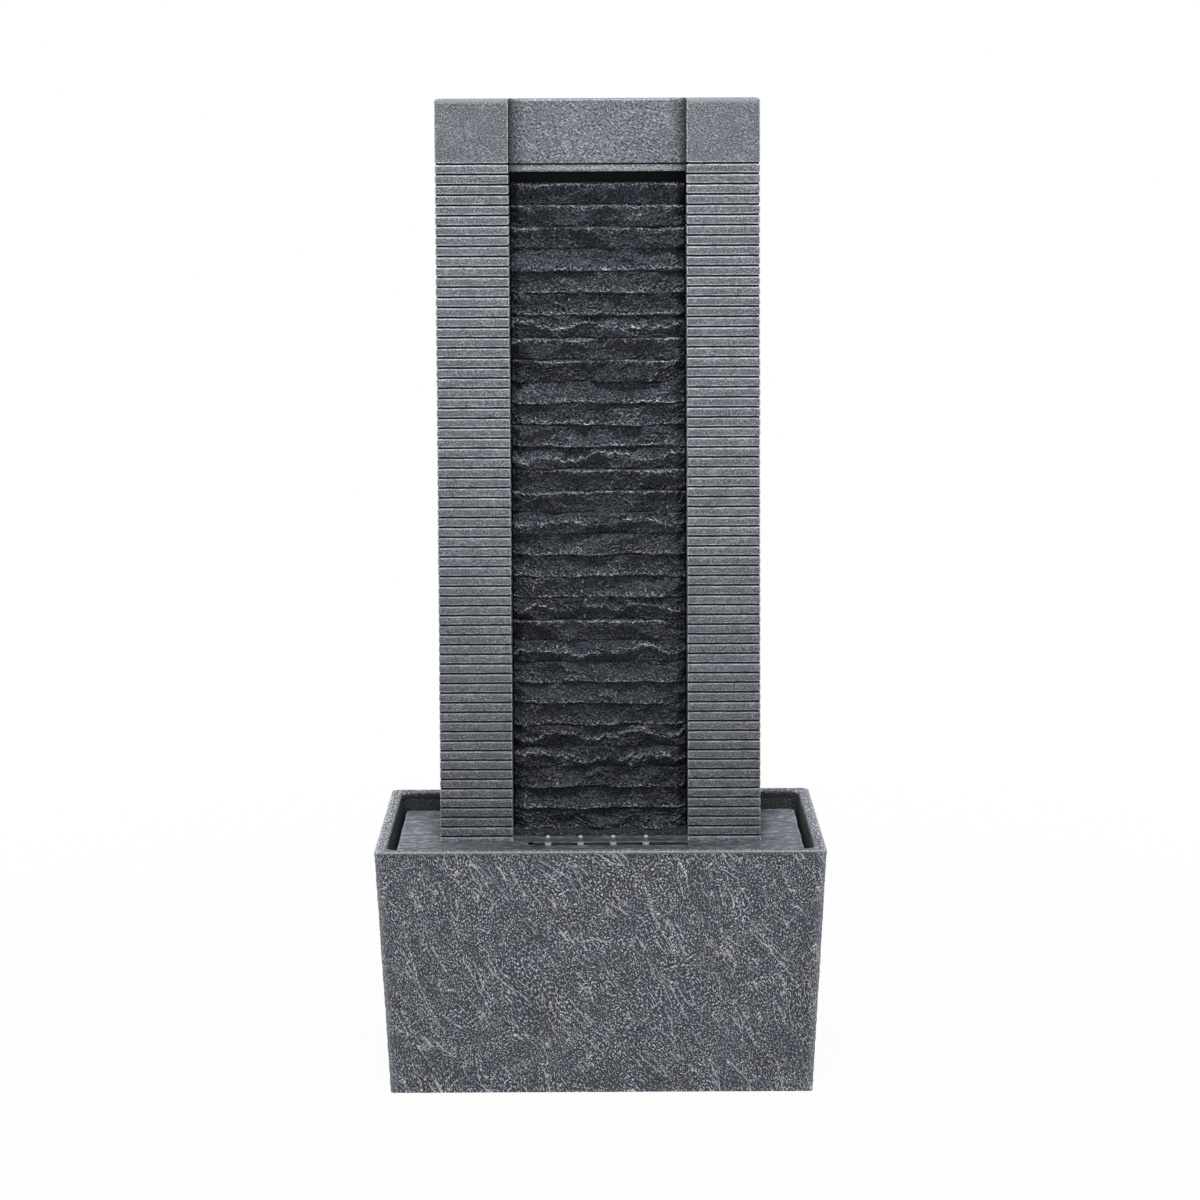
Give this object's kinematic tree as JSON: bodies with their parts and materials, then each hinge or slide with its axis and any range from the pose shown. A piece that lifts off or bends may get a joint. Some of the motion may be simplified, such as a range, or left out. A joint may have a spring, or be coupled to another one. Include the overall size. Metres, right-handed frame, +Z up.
{
  "type": "garden wall fountain",
  "caption": "Free-standing slate-look fountain: grooved tower with a split-stone water wall on a tapered basin, with pump, hose, header trough and lamps.",
  "frame": {"origin": "floor level, under the middle of the basin's bounding box", "axes": "+Z up, +Y towards the back, +X to the right as seen from the front"},
  "size_m": [0.5248, 0.2998, 1.152],
  "materials": {
    "slate_basin": "rough slate relief, grey with paler ridges",
    "slate_deck": "worn flat slate, streaked",
    "slate_pillar": "fine-grained slate, paler arrises",
    "slate_ledge": "dark split slate, satin where wet",
    "slate_back": "plain cast back, matt",
    "black_plastic": "moulded, matt",
    "grey_plastic": "moulded, satin",
    "impeller_plastic": "moulded, smooth",
    "rubber": "matt",
    "hose": "smooth, satin",
    "steel": "zinc-plated",
    "magnet": "sintered, dull",
    "shaft_ceramic": "ground",
    "clear_lens": "clear, polished",
    "clear_collar": "clear moulded, polished"
  },
  "bodies": {
    "basin": {"basin": "slate_basin", "cable_grommet": "rubber", "pump_housing": "black_plastic", "pump_seal": "rubber", "pump_cover": "black_plastic", "shaft_bushes": "rubber", "pump_shaft": "shaft_ceramic", "pump_feet": "rubber", "pump_gland": "rubber"},
    "tower": {"deck": "slate_deck", "pillar_left": "slate_pillar", "pillar_right": "slate_pillar", "lintel": "slate_pillar", "ledge_wall": "slate_ledge", "header_trough": "grey_plastic", "header_fitting": "black_plastic", "fitting_seal": "rubber", "fitting_nut": "black_plastic", "riser_hose": "hose", "hose_clamp": "steel", "back_panel": "slate_back", "panel_screws": "steel", "tower_bolts": "steel", "tower_washers": "steel", "lamp_carrier": "black_plastic", "lamp_holders": "black_plastic", "lamp_collars": "clear_collar", "lamp_lenses": "clear_lens", "carrier_screws": "steel"},
    "rotor": {"impeller": "impeller_plastic", "rotor_magnet": "magnet"},
    "strainer": {"strainer_cover": "black_plastic"},
    "dial": {"flow_dial": "grey_plastic"}
  },
  "joints": [
    {"name": "tower_lift", "type": "slide", "parent": "basin", "child": "tower", "axis": [0, 0, 1], "range_m": [0, 0.35]},
    {"name": "impeller_spin", "type": "hinge", "parent": "basin", "child": "rotor", "pos_m": [0, 0.066, 0.043], "axis": [0, 1, 0], "continuous": true},
    {"name": "strainer_pull", "type": "slide", "parent": "basin", "child": "strainer", "axis": [0, -1, 0], "range_m": [0, 0.045]},
    {"name": "dial_turn", "type": "hinge", "parent": "strainer", "child": "dial", "pos_m": [0, 0.031, 0.043], "axis": [0, 1, 0], "range_deg": [0, 90]}
  ]
}
